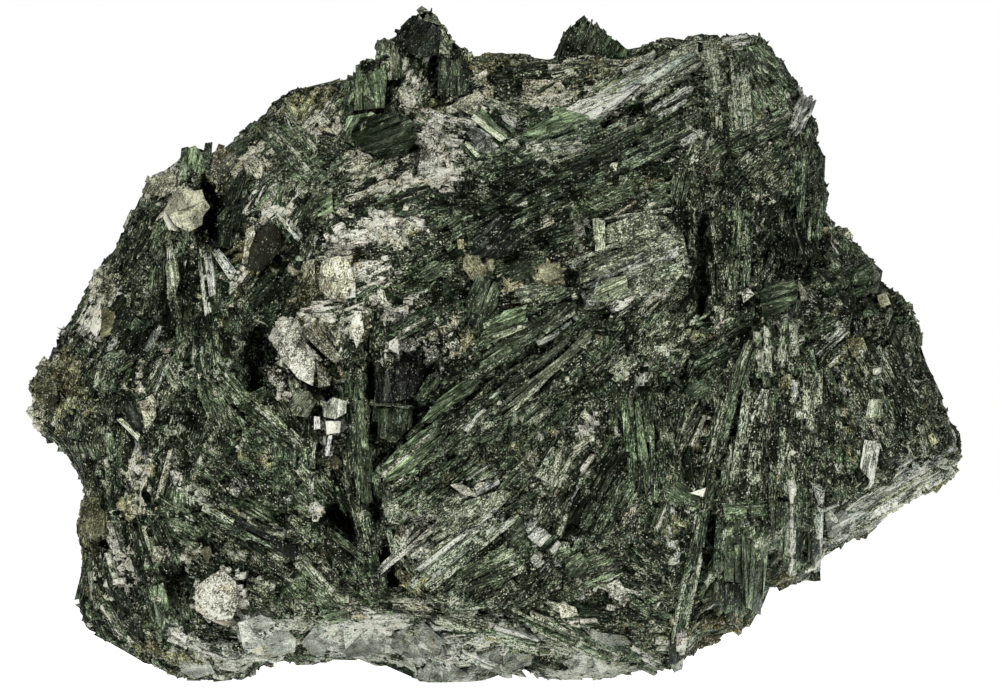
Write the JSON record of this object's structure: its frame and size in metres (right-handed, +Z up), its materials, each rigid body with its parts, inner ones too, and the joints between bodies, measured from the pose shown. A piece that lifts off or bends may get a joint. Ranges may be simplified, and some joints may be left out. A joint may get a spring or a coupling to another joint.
{
  "type": "smaragdite mineral specimen",
  "caption": "Block of bladed green smaragdite rock with pale feldspar lumps, pointed crystals on its top edge and flat breaks to rest on.",
  "frame": {"origin": "on the resting plane, under the middle of the specimen's box", "axes": "+Z up, X along the specimen, -Y out of its showy face"},
  "size_m": [0.1198, 0.0608, 0.0869],
  "materials": {
    "smaragdite_rock": "rough cleavage faces, satin to glassy on the blades"
  },
  "bodies": {
    "root": {"smaragdite_rock": "smaragdite_rock"}
  },
  "joints": []
}
